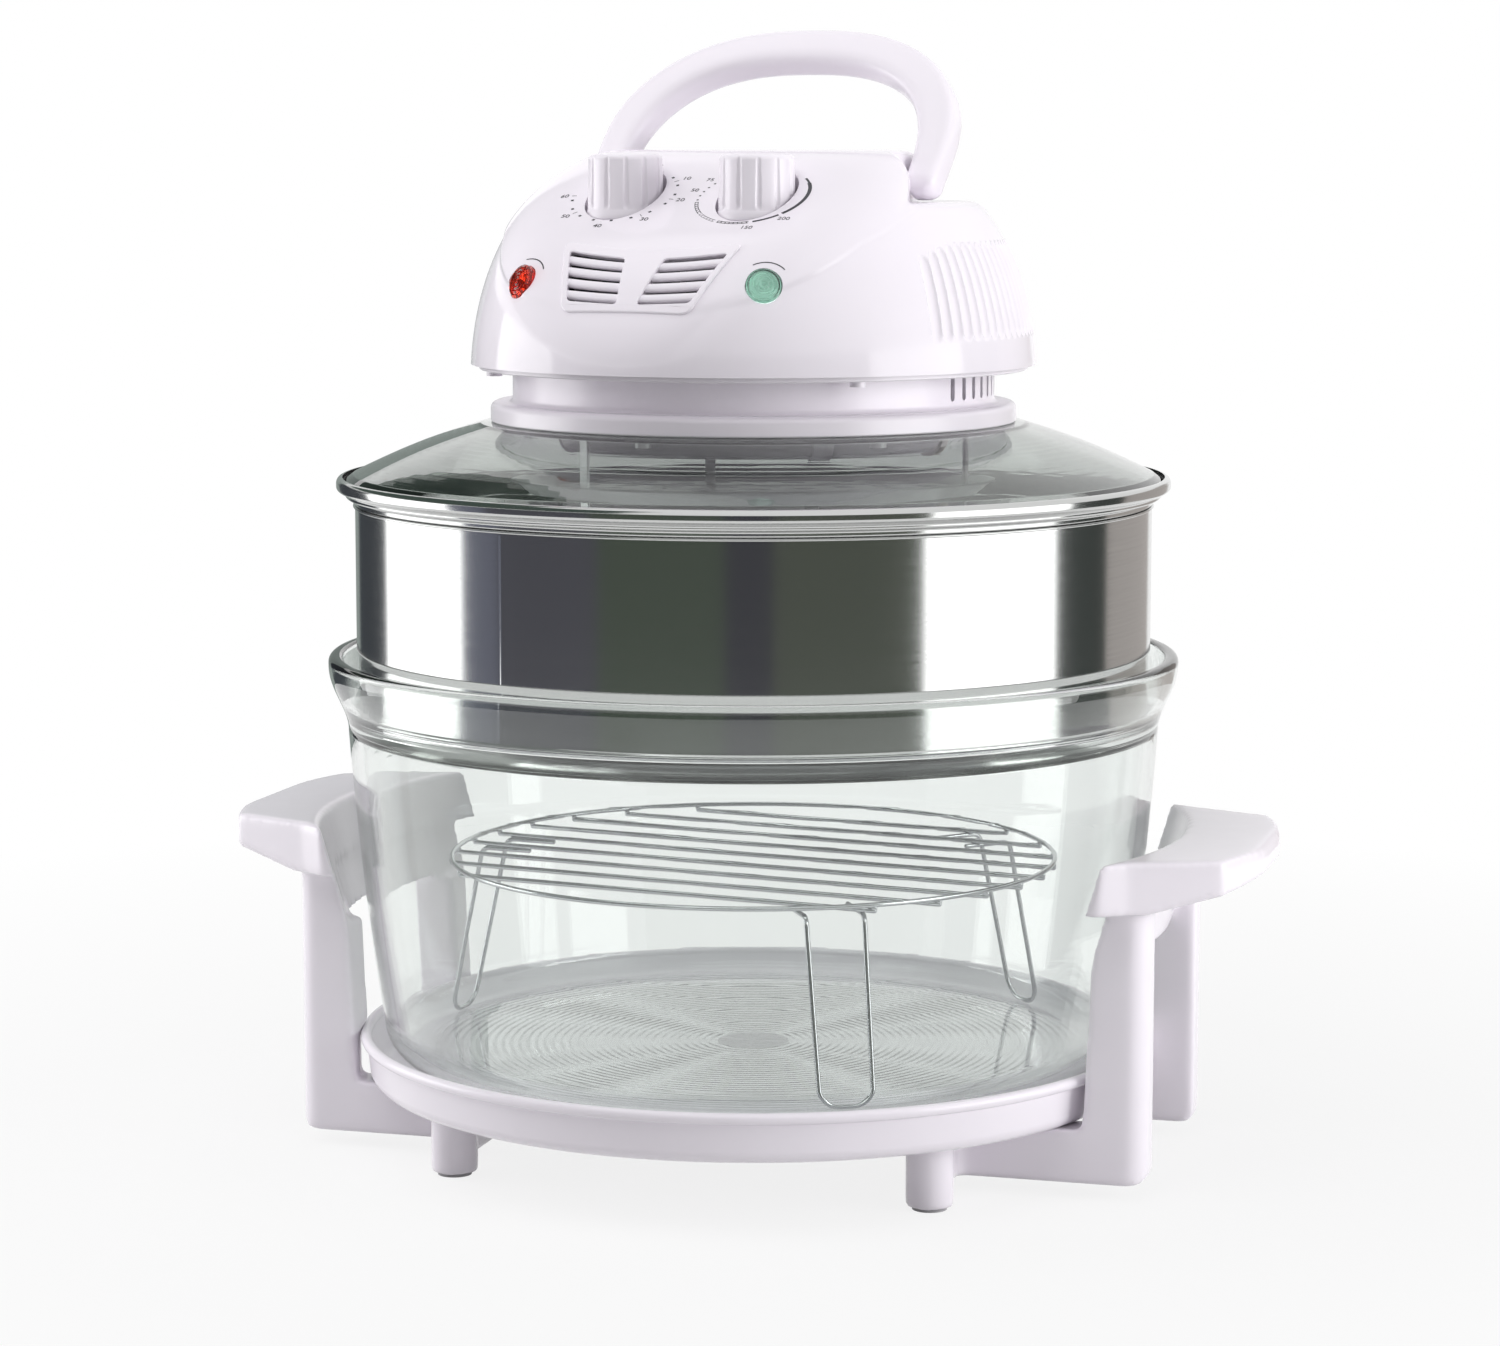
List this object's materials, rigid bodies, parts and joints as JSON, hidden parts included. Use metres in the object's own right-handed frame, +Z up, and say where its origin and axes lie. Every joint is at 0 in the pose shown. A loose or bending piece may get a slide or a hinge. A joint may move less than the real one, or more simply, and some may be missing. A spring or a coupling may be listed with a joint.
{
  "type": "halogen oven",
  "caption": "Countertop halogen oven: glass bowl in a white stand with side handles, steel extender ring, wire rack and lift-off lid with heater head.",
  "frame": {"origin": "on the table under the centre of the bowl", "axes": "+Z up, +X towards the right side handle, -Y towards the user; the head on the lid is turned 12 degrees clockwise from above, as it stands in the picture"},
  "size_m": [0.41, 0.33, 0.4337],
  "materials": {
    "white_plastic": "glossy injection-moulded plastic",
    "clear_glass": "clear toughened glass",
    "polished_steel": "polished sheet steel",
    "chromed_wire": "chromed wire",
    "dark_seal": "black silicone rubber",
    "foot_rubber": "pale rubber",
    "bright_fastener": "zinc-plated steel",
    "heater_sheet": "plain sheet aluminium",
    "quartz": "fused quartz",
    "filament_wire": "tungsten wire",
    "ceramic_cap": "unglazed ceramic",
    "red_lens": "clear red plastic",
    "green_lens": "clear green plastic",
    "black_plastic": "black moulded plastic",
    "motor_steel": "plain steel",
    "cream_plastic": "moulded plastic"
  },
  "bodies": {
    "base": {"tray": "white_plastic", "side_handle_left": "white_plastic", "side_handle_right": "white_plastic", "foot_pads": "foot_rubber", "stand_screws": "bright_fastener"},
    "bowl": {"glass_bowl": "clear_glass"},
    "rack": {"rack_ring": "chromed_wire", "rack_wires": "chromed_wire", "rack_legs": "chromed_wire"},
    "ring": {"steel_ring": "polished_steel"},
    "lid": {"lid_glass": "clear_glass", "lid_seal": "dark_seal", "lid_band": "polished_steel", "lid_flange": "white_plastic", "clamp_ring": "heater_sheet", "clamp_screws": "bright_fastener", "collar": "white_plastic", "heat_shield": "heater_sheet", "guard_dish": "heater_sheet", "guard_hangers": "heater_sheet", "quartz_tube": "quartz", "filament": "filament_wire", "tube_caps": "ceramic_cap", "tube_clips": "heater_sheet", "dome": "white_plastic", "dome_screws": "bright_fastener", "front_grille": "white_plastic", "power_lens": "red_lens", "heat_lens": "green_lens", "lamp_holders": "black_plastic", "timer_body": "black_plastic", "thermostat_body": "black_plastic", "motor_bracket": "heater_sheet", "fan_motor": "motor_steel", "terminal_block": "cream_plastic", "handle_switch": "black_plastic", "cord_gland": "black_plastic", "pivot_pins": "bright_fastener"},
    "fan_rotor": {"motor_shaft": "bright_fastener", "hot_air_fan": "heater_sheet", "cooling_fan": "black_plastic"},
    "timer": {"timer_knob": "white_plastic", "timer_spindle": "bright_fastener"},
    "thermostat": {"thermostat_knob": "white_plastic", "thermostat_spindle": "bright_fastener"},
    "handle": {"carry_handle": "white_plastic"}
  },
  "joints": [
    {"name": "bowl_lift", "type": "slide", "parent": "base", "child": "bowl", "axis": [0, 0, 1], "range_m": [0, 0.2]},
    {"name": "rack_lift", "type": "slide", "parent": "bowl", "child": "rack", "axis": [0, 0, 1], "range_m": [0, 0.13]},
    {"name": "ring_lift", "type": "slide", "parent": "bowl", "child": "ring", "axis": [0, 0, 1], "range_m": [0, 0.12]},
    {"name": "lid_lift", "type": "slide", "parent": "ring", "child": "lid", "axis": [0, 0, 1], "range_m": [0, 0.25]},
    {"name": "handle_fold", "type": "hinge", "parent": "lid", "child": "handle", "pos_m": [0.00166, 0.00783, 0.3748], "axis": [-0.9781, 0.2079, 0], "range_deg": [0, 51.5]},
    {"name": "timer_turn", "type": "hinge", "parent": "lid", "child": "timer", "pos_m": [-0.03778, -0.04309, 0.3608], "axis": [0, 0, -1], "range_deg": [0, 300]},
    {"name": "thermostat_turn", "type": "hinge", "parent": "lid", "child": "thermostat", "pos_m": [0.01699, -0.05473, 0.3608], "axis": [0, 0, -1], "range_deg": [0, 290]},
    {"name": "fan_spin", "type": "hinge", "parent": "lid", "child": "fan_rotor", "pos_m": [0, 0, 0.3058], "axis": [0, 0, 1], "continuous": true}
  ]
}
